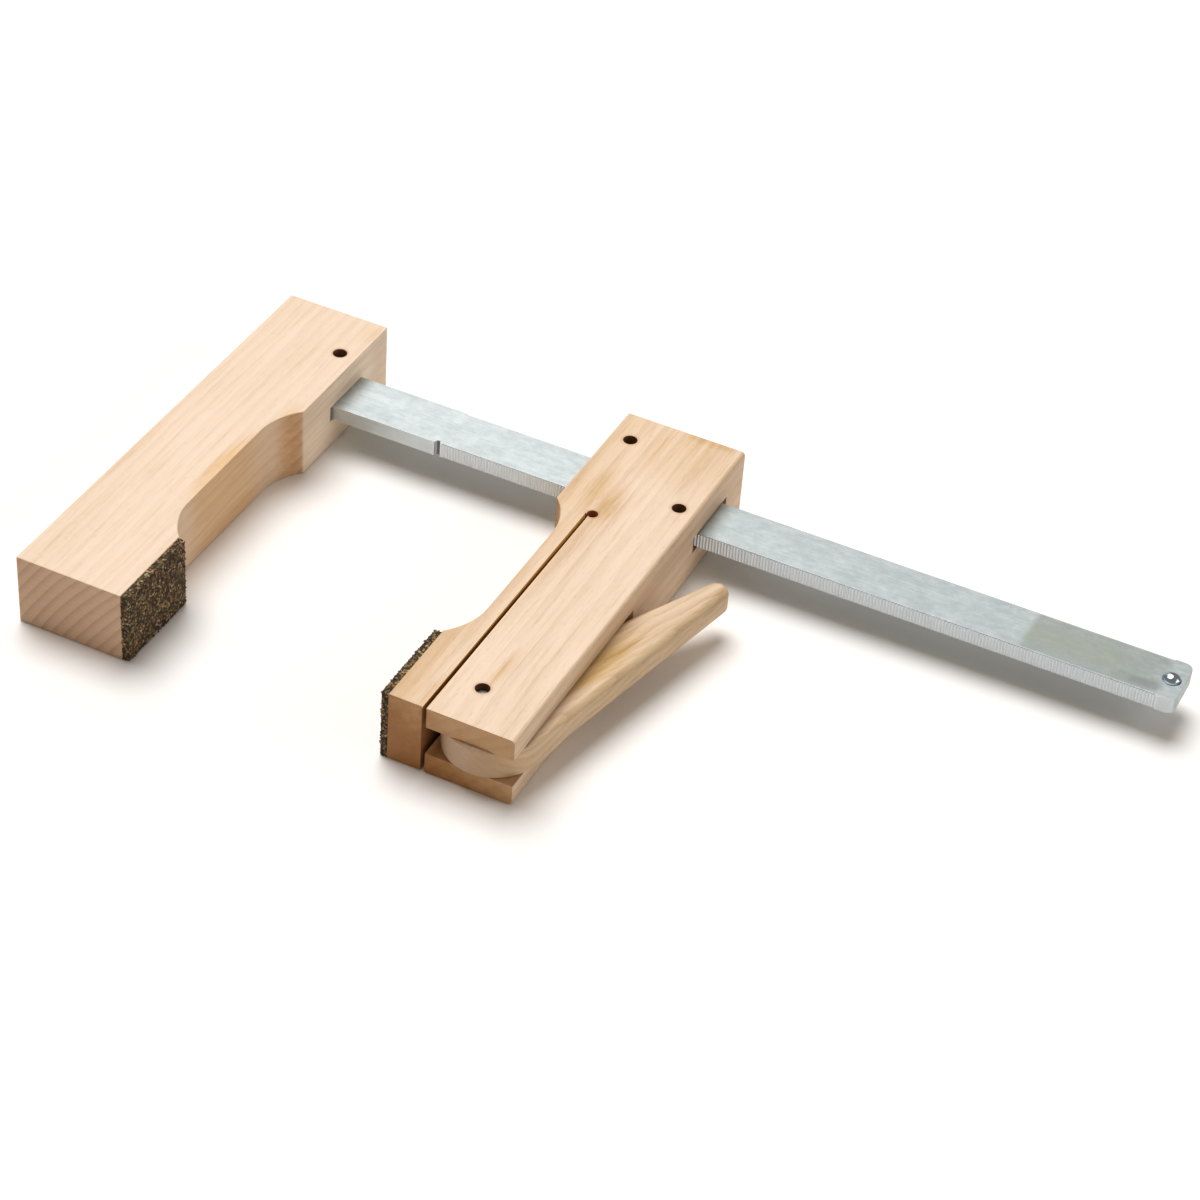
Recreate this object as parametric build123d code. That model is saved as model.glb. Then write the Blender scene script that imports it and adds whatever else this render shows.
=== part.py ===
"""Wooden cam clamp lying on its side: two hardwood jaws on a serrated steel bar.

The frame has X along the bar, Y across the throat (the jaw tips point to -Y) and Z up. The origin is
on the underside of the fixed jaw, below the middle of the place where the bar goes through it. All
sizes are millimetres.
"""
from build123d import *
from math import acos, asin, atan2, cos, degrees, hypot, radians, sin, sqrt
import os

# Jaw boards
JAW_THICKNESS = 21.5
FIXED_JAW_LENGTH = 142.0
FIXED_JAW_WIDTH = 32.0
SLIDING_JAW_LENGTH = 139.0
SLIDING_JAW_WIDTH = 36.0
SLIDING_JAW_SETBACK = 1.5        # the sliding jaw's tip stands this far behind the fixed jaw's tip
SLIDING_JAW_EDGE_RADIUS = 1.2    # rounding of its two long outer edges
THROAT = 110.5                   # fixed jaw's tip to the near edge of the bar
REST_OPENING = 74.0              # pad to pad, as the clamp is shown

# Pads and the hollow behind them
PAD_LENGTH = 28.5
PAD_THICKNESS = 2.2
COVE_OFFSET = 0.5                # from the end of the pad to the start of the cove
COVE_LENGTH = 65.0
COVE_DEPTH = 5.7
COVE_RADIUS = 20.0

# Serrated bar and the stop pin at its free end
BAR_LENGTH = 283.5
BAR_WIDTH = 16.5
BAR_HEIGHT = 4.7
BAR_RECESS = 0.5                 # the bar's end stands this far inside the fixed jaw's outer face
BAR_CORNER_RADIUS = 2.5
TOOTH_PITCH = 0.9
TOOTH_DEPTH = 0.4
PLAIN_LENGTH = 66.0              # smooth stretch at the fixed jaw's end
END_PLAIN_LENGTH = 5.0           # smooth stretch at the free end
START_NOTCH_RADIUS = 0.9         # of the notch that ends the smooth stretch, on the tips' side only
STOP_PIN_RADIUS = 2.3
STOP_PIN_INSET = 3.7             # axis to the bar's free end
STOP_PIN_PROUD = 1.7             # on each face of the bar
STOP_PIN_DOME = 1.0              # height of the dome within that
STOP_PIN_SINK = 0.4              # countersink round the pin

# Slots in the jaws
FIXED_SLOT_GAP = 1.2             # on the tips' side of the bar
SLIDING_SLOT_GAP = 2.5           # on each edge of the bar, so that the jaw can rock
SLIDING_SLOT_PLAY = 0.3          # on each face of the bar

# Steel pins through the jaws
PIN_RADIUS = 2.0
PIN_CHAMFER = 0.3
PIN_RECESS = 3.4                 # below the wood on each side
PIVOT_PIN_RECESS = 2.0
FIXED_PIN_FROM_FACE = 5.4        # from the fixed jaw's inner face
FIXED_PIN_FROM_BAR_EDGE = 3.2    # inwards from the bar's far edge
INNER_LOCK_PIN_FROM_FACE = 5.8   # from the sliding jaw's inner face
OUTER_LOCK_PIN_FROM_FACE = 5.2   # from its outer face
LOCK_PIN_CLEARANCE = 0.3         # pin to bar when the jaw stands square

# Saw kerf that frees the tongue, and the round seat where the tongue bends
KERF_CENTRE = 10.35              # from the sliding jaw's inner face
KERF_WIDTH = 1.2
KERF_LENGTH = 91.8               # tip to the kerf's end
KERF_HOLE_RADIUS = 1.55
KERF_HOLE_ASIDE = 1.25           # from the kerf's middle to the axis of the hole at its end
KERF_HOLE_BEYOND = 0.6           # from the kerf's end to the same axis
BEND_FROM_FACE = 5.6
BEND_FROM_TIP = 86.5
BEND_RADIUS = 5.9
BEND_CLEARANCE = 0.08

# Mortise for the lever, one plunge of a round saw from the outer face
MORTISE_WIDTH = 8.8
MORTISE_DEPTH = 26.3
SAW_RADIUS = 75.0
SAW_CENTRE_FROM_TIP = 11.5

# Cam lever
PIVOT_FROM_FACE = 19.5           # from the sliding jaw's inner face
PIVOT_FROM_TIP = 13.9
PIVOT_CLEARANCE = 0.05
LEVER_SIDE_CLEARANCE = 0.2
CAM_CLEARANCE = 0.3              # least gap from nose to tongue
CAM_OFFSET = 5.0                 # from the pivot to the middle line of nose and handle
NOSE_RADIUS = 13.6
NOSE_SQUARE_MARGIN = 0.8         # the edges stay square on the nose and this far beyond it
LEVER_LENGTH = 81.1              # from the nose's centre to the tip's centre
LEVER_TIP_RADIUS = 3.2
LEVER_EDGE_RADIUS = 2.3
LEVER_LEAN = 19.4                # degrees from the jaw's length, lever released
LEVER_SWING = 90.0               # degrees from released to clamped

CUT_MARGIN = 5.0                 # how far a cutter runs past the wood

# Places that follow from the sizes above
MID_Z = JAW_THICKNESS / 2
FIXED_FACE_X = FIXED_JAW_WIDTH / 2
FIXED_TIP_Y = -THROAT - BAR_WIDTH / 2
SLIDING_FACE_X = FIXED_FACE_X + REST_OPENING + 2 * PAD_THICKNESS
SLIDING_OUTER_X = SLIDING_FACE_X + SLIDING_JAW_WIDTH
SLIDING_TIP_Y = FIXED_TIP_Y + SLIDING_JAW_SETBACK
BAR_START_X = -FIXED_JAW_WIDTH / 2 + BAR_RECESS
BAR_END_X = BAR_START_X + BAR_LENGTH
STOP_PIN_X = BAR_END_X - STOP_PIN_INSET
PIVOT_X = SLIDING_FACE_X + PIVOT_FROM_FACE
PIVOT_Y = SLIDING_TIP_Y + PIVOT_FROM_TIP
BEND_X = SLIDING_FACE_X + BEND_FROM_FACE
BEND_Y = SLIDING_TIP_Y + BEND_FROM_TIP
KERF_TONGUE_X = SLIDING_FACE_X + KERF_CENTRE - KERF_WIDTH / 2
KERF_JAW_X = KERF_TONGUE_X + KERF_WIDTH
KERF_END_Y = SLIDING_TIP_Y + KERF_LENGTH
LOCK_PIN_Y = BAR_WIDTH / 2 + LOCK_PIN_CLEARANCE + PIN_RADIUS

# Pin axes, as X and Y: the inner lock pin bites the bar's far edge, the outer one its near edge
FIXED_PIN_AT = (FIXED_FACE_X - FIXED_PIN_FROM_FACE, BAR_WIDTH / 2 - FIXED_PIN_FROM_BAR_EDGE)
INNER_LOCK_PIN_AT = (SLIDING_FACE_X + INNER_LOCK_PIN_FROM_FACE, LOCK_PIN_Y)
OUTER_LOCK_PIN_AT = (SLIDING_OUTER_X - OUTER_LOCK_PIN_FROM_FACE, -LOCK_PIN_Y)


def tongue_swing():
    """Degrees that the nose bends the tongue in the lever's whole swing, with CAM_CLEARANCE left."""
    turn = radians(LEVER_LEAN + LEVER_SWING)
    aside = PIVOT_X + CAM_OFFSET * cos(turn) - BEND_X
    down = BEND_Y - PIVOT_Y + CAM_OFFSET * sin(turn)
    needed = NOSE_RADIUS + CAM_CLEARANCE + KERF_TONGUE_X - BEND_X
    return degrees(atan2(down, aside) - acos(needed / hypot(down, aside)))


def block(x0, x1, y0, y1, z0=0.0, z1=JAW_THICKNESS):
    """A box between two corners."""
    return Pos((x0 + x1) / 2, (y0 + y1) / 2, (z0 + z1) / 2) * Box(x1 - x0, y1 - y0, z1 - z0)


def drill(x, y, radius):
    """A round cutter through the whole thickness of a jaw."""
    return Pos(x, y, MID_Z) * Cylinder(radius, JAW_THICKNESS + 2 * CUT_MARGIN)


def cove(face_x, tip_y, side):
    """The long shallow hollow of a jaw, as a drum cutter leaves it; side is +1 for wood towards +X."""
    run_out = sqrt(COVE_RADIUS**2 - (COVE_RADIUS - COVE_DEPTH) ** 2)
    middle_y = tip_y + PAD_LENGTH + COVE_OFFSET + COVE_LENGTH / 2
    path = SlotCenterToCenter(COVE_LENGTH - 2 * run_out, 2 * COVE_RADIUS)
    place = Pos(face_x - side * (COVE_RADIUS - COVE_DEPTH), middle_y, -CUT_MARGIN)
    return place * Rot(0, 0, 90) * extrude(path, JAW_THICKNESS + 2 * CUT_MARGIN)


def jaw_pin(place, recess):
    """A steel pin with broken edges, set a little below both faces of the wood."""
    pin = Cylinder(PIN_RADIUS, JAW_THICKNESS - 2 * recess)
    return Pos(*place, MID_Z) * chamfer(pin.edges().filter_by(GeomType.CIRCLE), PIN_CHAMFER)


def bar_edge(side):
    """One long edge of the bar with its teeth, from the fixed jaw to the free end; side is its sign of Y."""
    edge_y = side * BAR_WIDTH / 2
    root_y = edge_y - side * TOOTH_DEPTH
    first = BAR_START_X + PLAIN_LENGTH
    count = int((BAR_END_X - END_PLAIN_LENGTH - first) / TOOTH_PITCH)
    points = [(BAR_START_X, edge_y), (first, edge_y)]
    for tooth in range(count):
        points.append((first + (tooth + 0.5) * TOOTH_PITCH, root_y))
        points.append((first + (tooth + 1) * TOOTH_PITCH, edge_y))
    points.append((BAR_END_X - BAR_CORNER_RADIUS, edge_y))
    return points


def make_bar():
    """The flat bar: fine teeth on both edges, a notch where they start, and holes for its two pins."""
    near = bar_edge(-1)
    far = bar_edge(1)
    near_corner = (BAR_END_X, near[-1][1] + BAR_CORNER_RADIUS)
    far_corner = (BAR_END_X, far[-1][1] - BAR_CORNER_RADIUS)
    outline = (
        Polyline(*near)
        + RadiusArc(near[-1], near_corner, -BAR_CORNER_RADIUS)
        + Line(near_corner, far_corner)
        + RadiusArc(far_corner, far[-1], -BAR_CORNER_RADIUS)
        + Polyline(*reversed(far))
        + Line(far[0], near[0])
    )
    bar = Pos(0, 0, MID_Z - BAR_HEIGHT / 2) * extrude(make_face(outline), BAR_HEIGHT)
    bar -= drill(BAR_START_X + PLAIN_LENGTH - START_NOTCH_RADIUS, -BAR_WIDTH / 2, START_NOTCH_RADIUS)
    bar -= drill(*FIXED_PIN_AT, PIN_RADIUS)
    bar -= drill(STOP_PIN_X, 0, STOP_PIN_RADIUS)
    sink = Cone(STOP_PIN_RADIUS, STOP_PIN_RADIUS + STOP_PIN_SINK, STOP_PIN_SINK)
    upper_sink = Pos(STOP_PIN_X, 0, MID_Z + (BAR_HEIGHT - STOP_PIN_SINK) / 2) * sink
    middle = Plane((0, 0, MID_Z))
    return bar - upper_sink - mirror(upper_sink, about=middle)


def make_stop_pin():
    """A short pin with a low dome on each end, pressed through the bar."""
    reach = BAR_HEIGHT / 2 + STOP_PIN_PROUD
    shoulder = reach - STOP_PIN_DOME
    dome_radius = (STOP_PIN_RADIUS**2 + STOP_PIN_DOME**2) / (2 * STOP_PIN_DOME)
    half = make_face(
        Line((0, -reach), (0, reach))
        + RadiusArc((0, reach), (STOP_PIN_RADIUS, shoulder), dome_radius)
        + Line((STOP_PIN_RADIUS, shoulder), (STOP_PIN_RADIUS, -shoulder))
        + RadiusArc((STOP_PIN_RADIUS, -shoulder), (0, -reach), dome_radius)
    )
    return Pos(STOP_PIN_X, 0, MID_Z) * revolve(Plane.XZ * half, Axis.Z)


def make_fixed_jaw():
    """The board at the bar's plain end, with its cove and the slot that holds the bar."""
    jaw = block(-FIXED_FACE_X, FIXED_FACE_X, FIXED_TIP_Y, FIXED_TIP_Y + FIXED_JAW_LENGTH)
    jaw -= cove(FIXED_FACE_X, FIXED_TIP_Y, -1)
    jaw -= block(
        -FIXED_FACE_X - CUT_MARGIN, FIXED_FACE_X + CUT_MARGIN,
        -BAR_WIDTH / 2 - FIXED_SLOT_GAP, BAR_WIDTH / 2,
        MID_Z - BAR_HEIGHT / 2, MID_Z + BAR_HEIGHT / 2,
    )
    return jaw - drill(*FIXED_PIN_AT, PIN_RADIUS)


def make_pad(face_x, tip_y, side):
    """A flat cork pad glued on a jaw's face, flush with its tip and its two sides."""
    outer = face_x - side * PAD_THICKNESS
    return block(min(face_x, outer), max(face_x, outer), tip_y, tip_y + PAD_LENGTH)


def sliding_board():
    """The sliding jaw's board before it is sawn: outline, rounded outer edges and cove."""
    board = block(SLIDING_FACE_X, SLIDING_OUTER_X, SLIDING_TIP_Y, SLIDING_TIP_Y + SLIDING_JAW_LENGTH)
    long_outer = board.edges().filter_by(Axis.Y).group_by(Axis.X)[-1]
    board = fillet(long_outer, SLIDING_JAW_EDGE_RADIUS)
    return board - cove(SLIDING_FACE_X, SLIDING_TIP_Y, 1)


def tongue_zone(limit_x, extra):
    """The tongue's space, from the tip to its round end and from the pad's side to limit_x.

    The round end is widened by extra, which is how the seat in the jaw clears the tongue.
    """
    start_x = SLIDING_FACE_X - CUT_MARGIN
    low, high = -CUT_MARGIN, JAW_THICKNESS + CUT_MARGIN
    strip = block(start_x, limit_x, SLIDING_TIP_Y - CUT_MARGIN, BEND_Y, low, high)
    around_bend = block(start_x, limit_x, BEND_Y - 2 * BEND_RADIUS, BEND_Y + 2 * BEND_RADIUS, low, high)
    return strip + (drill(BEND_X, BEND_Y, BEND_RADIUS + extra) & around_bend)


def kerf_hole():
    """The drilled hole that ends the kerf, so that the wood doesn't split there."""
    hole_x = SLIDING_FACE_X + KERF_CENTRE + KERF_HOLE_ASIDE
    return drill(hole_x, KERF_END_Y + KERF_HOLE_BEYOND, KERF_HOLE_RADIUS)


def make_tongue():
    """The springy strip between the cove and the kerf. It carries the pad, and the cam pushes it."""
    return sliding_board() & tongue_zone(KERF_TONGUE_X, 0.0)


def make_sliding_jaw():
    """The rest of the sawn board, with kerf, mortise, the wide slot for the bar and three pin holes."""
    jaw = sliding_board() - tongue_zone(KERF_JAW_X, BEND_CLEARANCE) - kerf_hole()
    jaw -= block(
        KERF_TONGUE_X, KERF_JAW_X, SLIDING_TIP_Y - CUT_MARGIN, KERF_END_Y,
        -CUT_MARGIN, JAW_THICKNESS + CUT_MARGIN,
    )
    saw_x = SLIDING_OUTER_X - MORTISE_DEPTH + SAW_RADIUS
    jaw -= Pos(saw_x, SLIDING_TIP_Y + SAW_CENTRE_FROM_TIP, MID_Z) * Cylinder(SAW_RADIUS, MORTISE_WIDTH)
    half_width = BAR_WIDTH / 2 + SLIDING_SLOT_GAP
    half_height = BAR_HEIGHT / 2 + SLIDING_SLOT_PLAY
    jaw -= block(
        SLIDING_FACE_X - CUT_MARGIN, SLIDING_OUTER_X + CUT_MARGIN, -half_width, half_width,
        MID_Z - half_height, MID_Z + half_height,
    )
    for place in (INNER_LOCK_PIN_AT, OUTER_LOCK_PIN_AT, (PIVOT_X, PIVOT_Y)):
        jaw -= drill(*place, PIN_RADIUS)
    return jaw


def lever_outline():
    """A round nose and a small round tip joined by straight edges, from the nose's centre towards +Y."""
    taper = asin((NOSE_RADIUS - LEVER_TIP_RADIUS) / LEVER_LENGTH)
    nose_x, nose_y = NOSE_RADIUS * cos(taper), NOSE_RADIUS * sin(taper)
    tip_x, tip_y = LEVER_TIP_RADIUS * cos(taper), LEVER_LENGTH + LEVER_TIP_RADIUS * sin(taper)
    return make_face(
        ThreePointArc((-nose_x, nose_y), (0, -NOSE_RADIUS), (nose_x, nose_y))
        + Line((nose_x, nose_y), (tip_x, tip_y))
        + ThreePointArc((tip_x, tip_y), (0, LEVER_LENGTH + LEVER_TIP_RADIUS), (-tip_x, tip_y))
        + Line((-tip_x, tip_y), (-nose_x, nose_y))
    )


def make_lever():
    """The lever: a rounded handle and a square-edged nose, bored off its middle line for the pivot."""
    height = MORTISE_WIDTH - 2 * LEVER_SIDE_CLEARANCE
    square = extrude(lever_outline(), height)
    rounded = fillet(square.faces().filter_by(Axis.Z).edges(), LEVER_EDGE_RADIUS)
    nose = square & Pos(0, 0, height / 2) * Cylinder(NOSE_RADIUS + NOSE_SQUARE_MARGIN, height)
    bore = Pos(-CAM_OFFSET, 0, height / 2) * Cylinder(PIN_RADIUS + PIVOT_CLEARANCE, height + CUT_MARGIN)
    lever = Pos(CAM_OFFSET, 0, -height / 2) * (rounded + nose - bore)
    return Pos(PIVOT_X, PIVOT_Y, MID_Z) * Rot(0, 0, -LEVER_LEAN) * lever


os.makedirs("parts", exist_ok=True)
pieces = {
    "fixed_jaw": make_fixed_jaw(),
    "fixed_jaw_pad": make_pad(FIXED_FACE_X, FIXED_TIP_Y, -1),
    "fixed_jaw_pin": jaw_pin(FIXED_PIN_AT, PIN_RECESS),
    "serrated_bar": make_bar(),
    "bar_stop_pin": make_stop_pin(),
    "sliding_jaw": make_sliding_jaw(),
    "jaw_tongue": make_tongue(),
    "sliding_jaw_pad": make_pad(SLIDING_FACE_X, SLIDING_TIP_Y, 1),
    "inner_lock_pin": jaw_pin(INNER_LOCK_PIN_AT, PIN_RECESS),
    "outer_lock_pin": jaw_pin(OUTER_LOCK_PIN_AT, PIN_RECESS),
    "cam_pivot_pin": jaw_pin((PIVOT_X, PIVOT_Y), PIVOT_PIN_RECESS),
    "cam_lever": make_lever(),
}
for name, piece in pieces.items():
    export_step(piece, f"parts/{name}.step")

# The joints' places and limits
pad_swing = (BEND_Y - SLIDING_TIP_Y) * sin(radians(tongue_swing()))
stop_travel = STOP_PIN_X - STOP_PIN_RADIUS - SLIDING_OUTER_X
print("lever pivot", PIVOT_X, PIVOT_Y, "tongue bend", BEND_X, BEND_Y, "swing", tongue_swing())
print("jaw slide from", pad_swing - REST_OPENING, "to", stop_travel)
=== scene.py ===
"""Looks of a wooden cam clamp lying on its side. model.glb gives every place, in metres."""
from math import acos, asin, atan2, cos, hypot, pi, radians, sin, sqrt

import bmesh
import bpy
from mathutils import Matrix, Vector


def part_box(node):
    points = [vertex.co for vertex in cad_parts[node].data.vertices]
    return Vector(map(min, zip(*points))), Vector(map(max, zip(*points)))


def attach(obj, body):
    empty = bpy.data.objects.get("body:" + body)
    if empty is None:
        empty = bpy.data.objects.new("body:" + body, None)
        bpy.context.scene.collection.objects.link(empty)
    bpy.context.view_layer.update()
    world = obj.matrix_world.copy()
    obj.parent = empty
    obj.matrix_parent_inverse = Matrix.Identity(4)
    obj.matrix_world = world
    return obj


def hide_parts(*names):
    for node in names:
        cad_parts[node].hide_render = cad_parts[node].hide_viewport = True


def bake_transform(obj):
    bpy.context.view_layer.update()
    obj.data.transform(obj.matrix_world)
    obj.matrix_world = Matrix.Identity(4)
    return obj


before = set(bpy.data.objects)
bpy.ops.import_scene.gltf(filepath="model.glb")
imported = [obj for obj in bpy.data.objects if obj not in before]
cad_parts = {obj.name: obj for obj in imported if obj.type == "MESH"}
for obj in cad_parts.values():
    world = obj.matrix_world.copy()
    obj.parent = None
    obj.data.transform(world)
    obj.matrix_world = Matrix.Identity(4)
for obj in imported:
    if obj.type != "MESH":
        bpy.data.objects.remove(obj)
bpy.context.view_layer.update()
mm = 0.001


# Fixed jaw. A board of planed pale hardwood, moulded with a drum cutter on its inner face to leave
# a cove, and mortised for the flat bar. Its edges are only just broken with paper, and a pin hole
# is drilled down through it.
cove_offset = 0.5 * mm           # from the end of the pad
cove_length = 65 * mm
cove_depth = 5.7 * mm
cove_radius = 20 * mm
cove_steps = 24
slot_gap = 1.2 * mm              # on the tips' side of the bar
pin_hole_radius = 2.0 * mm
round_steps = 64
cut_margin = 5 * mm              # how far a cutter runs past the wood
arris = 0.3 * mm                 # width of a broken edge
arris_steps = 3
corner_angle = radians(25)
grain_relief = 0.06 * mm
scorch = (0.14, 0.062, 0.018)
scorch_rim = 0.12 * mm           # width of the burn round a drilled hole
browned = (0.42, 0.2, 0.07)
browned_reach = 1.2 * mm         # how far the wood is browned round it
pale_side_colour = (0.96, 0.80, 0.615)

jaw_low, jaw_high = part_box("fixed_jaw")
pad_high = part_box("fixed_jaw_pad")[1]
bar_low, bar_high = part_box("serrated_bar")
jaw_base, jaw_top = jaw_low.z, jaw_high.z
middle_z = (jaw_base + jaw_top) / 2


def cove_line(face_x, start_y, into_wood):
    """Points down a cove from its tip end; into_wood is +1 where the wood lies towards +X."""
    run_out = sqrt(cove_radius**2 - (cove_radius - cove_depth) ** 2)
    sweep = atan2(run_out, cove_radius - cove_depth)
    centre_x = face_x - into_wood * (cove_radius - cove_depth)
    turns = [i / cove_steps for i in range(cove_steps + 1)]
    bends = [(sweep * (1 - t), start_y + run_out) for t in turns]
    bends += [(-sweep * t, start_y + cove_length - run_out) for t in turns]
    return [
        (centre_x + into_wood * cove_radius * cos(a), y - cove_radius * sin(a)) for a, y in bends
    ]


def solid(name, points, faces):
    """A new object in the scene, from its points and faces."""
    mesh = bpy.data.meshes.new(name)
    mesh.from_pydata(points, [], faces)
    made = bpy.data.objects.new(name, mesh)
    bpy.context.scene.collection.objects.link(made)
    return made


def prism(name, outline, low_z, high_z):
    """A solid with this outline seen from above, listed anticlockwise."""
    count = len(outline)
    points = [(x, y, z) for z in (low_z, high_z) for x, y in outline]
    base, top = tuple(reversed(range(count))), tuple(range(count, 2 * count))
    sides = [(i, (i + 1) % count, count + (i + 1) % count, count + i) for i in range(count)]
    return solid(name, points, [base, top, *sides])


def rectangle(x0, x1, y0, y1):
    return [(x0, y0), (x1, y0), (x1, y1), (x0, y1)]


def circle(x, y, radius, steps=round_steps):
    turns = [2 * pi * i / steps for i in range(steps)]
    return [(x + radius * cos(a), y + radius * sin(a)) for a in turns]


def settle(piece):
    """Turns what the modifiers make into the piece's plain mesh."""
    graph = bpy.context.evaluated_depsgraph_get()
    mesh = bpy.data.meshes.new_from_object(piece.evaluated_get(graph))
    piece.modifiers.clear()
    piece.data = mesh


def cut(piece, *cutters):
    """Takes each cutter's shape out of the piece, one after the other."""
    for cutter in cutters:
        step = piece.modifiers.new("cut", "BOOLEAN")
        step.operation = "DIFFERENCE"
        step.solver = "EXACT"
        step.object = cutter
    settle(piece)
    for cutter in cutters:
        bpy.data.objects.remove(cutter)


def drill(x, y, radius):
    """A round cutter through the whole thickness of a jaw."""
    return prism("drill", circle(x, y, radius), jaw_base - cut_margin, jaw_top + cut_margin)


def break_edges(piece, width, steps, chosen):
    """Rounds the edges that chosen picks, from an edge's two ends and the angle of its faces."""
    shape = bmesh.new()
    shape.from_mesh(piece.data)
    weight = shape.edges.layers.float.new("bevel_weight_edge")
    for edge in shape.edges:
        picked = chosen(edge.verts[0].co, edge.verts[1].co, edge.calc_face_angle(0.0))
        edge[weight] = 1.0 if picked else 0.0
    shape.to_mesh(piece.data)
    shape.free()
    step = piece.modifiers.new("edges", "BEVEL")
    step.limit_method = "WEIGHT"
    step.width = width
    step.segments = steps
    settle(piece)
    piece.data.attributes.remove(piece.data.attributes["bevel_weight_edge"])


def is_corner(a, b, angle):
    return angle > corner_angle


def smooth(piece, limit=14):
    """Shades gentle curves smooth and keeps corners over limit degrees; flat faces stay flat."""
    piece.data.shade_smooth()
    piece.data.set_sharp_from_angle(angle=radians(limit))
    step = piece.modifiers.new("normals", "WEIGHTED_NORMAL")
    step.keep_sharp = True
    settle(piece)


def middle_of(node):
    low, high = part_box(node)
    return (low + high) / 2


fixed_outline = [(jaw_low.x, jaw_low.y), (jaw_high.x, jaw_low.y)]
fixed_outline += cove_line(jaw_high.x, pad_high.y + cove_offset, -1)
fixed_outline += [(jaw_high.x, jaw_high.y), (jaw_low.x, jaw_high.y)]
fixed_jaw = prism("fixed_jaw_board", fixed_outline, jaw_base, jaw_top)
slot = rectangle(
    jaw_low.x - cut_margin, jaw_high.x + cut_margin, bar_low.y - slot_gap, bar_high.y
)
fixed_pin = middle_of("fixed_jaw_pin")
cut(
    fixed_jaw,
    prism("slot", slot, bar_low.z, bar_high.z),
    drill(fixed_pin.x, fixed_pin.y, pin_hole_radius),
)
break_edges(fixed_jaw, arris, arris_steps, is_corner)
smooth(fixed_jaw)


class Value:
    """A number that varies over a surface; sums and products of values add Math nodes."""

    def __init__(self, recipe, socket):
        self.recipe = recipe
        self.socket = socket

    def math(self, operation, first, second=0.0):
        return self.recipe.value("ShaderNodeMath", {"operation": operation}, {0: first, 1: second})

    def __add__(self, other):
        return self.math("ADD", self, other)

    def __sub__(self, other):
        return self.math("SUBTRACT", self, other)

    def __rsub__(self, other):
        return self.math("SUBTRACT", other, self)

    def __mul__(self, other):
        return self.math("MULTIPLY", self, other)

    def __truediv__(self, other):
        return self.math("DIVIDE", self, other)

    def __pow__(self, other):
        return self.math("POWER", self, other)

    def __abs__(self):
        return self.math("ABSOLUTE", self)

    __radd__ = __add__
    __rmul__ = __mul__


class Recipe:
    """A node tree being written, for a finish or for a shape."""

    def __init__(self, tree):
        self.tree = tree
        tree.nodes.clear()

    def node(self, kind, settings, sockets):
        """Adds a node; its settings come first, then its sockets by name or number."""
        made = self.tree.nodes.new(kind)
        for name, setting in settings.items():
            if name == "stops":
                self.set_stops(made.color_ramp, setting)
            else:
                setattr(made, name, setting)
        for name, given in sockets.items():
            if isinstance(given, Value):
                given = given.socket
            if isinstance(given, bpy.types.NodeSocket):
                self.tree.links.new(given, made.inputs[name])
            else:
                made.inputs[name].default_value = given
        return made

    def set_stops(self, ramp, stops):
        while len(ramp.elements) < len(stops):
            ramp.elements.new(1.0)
        for element, (place, colour) in zip(ramp.elements, stops):
            element.position = place
            element.color = (*colour, 1.0)

    def value(self, kind, settings, sockets, output=0):
        return Value(self, self.node(kind, settings, sockets).outputs[output])


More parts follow.
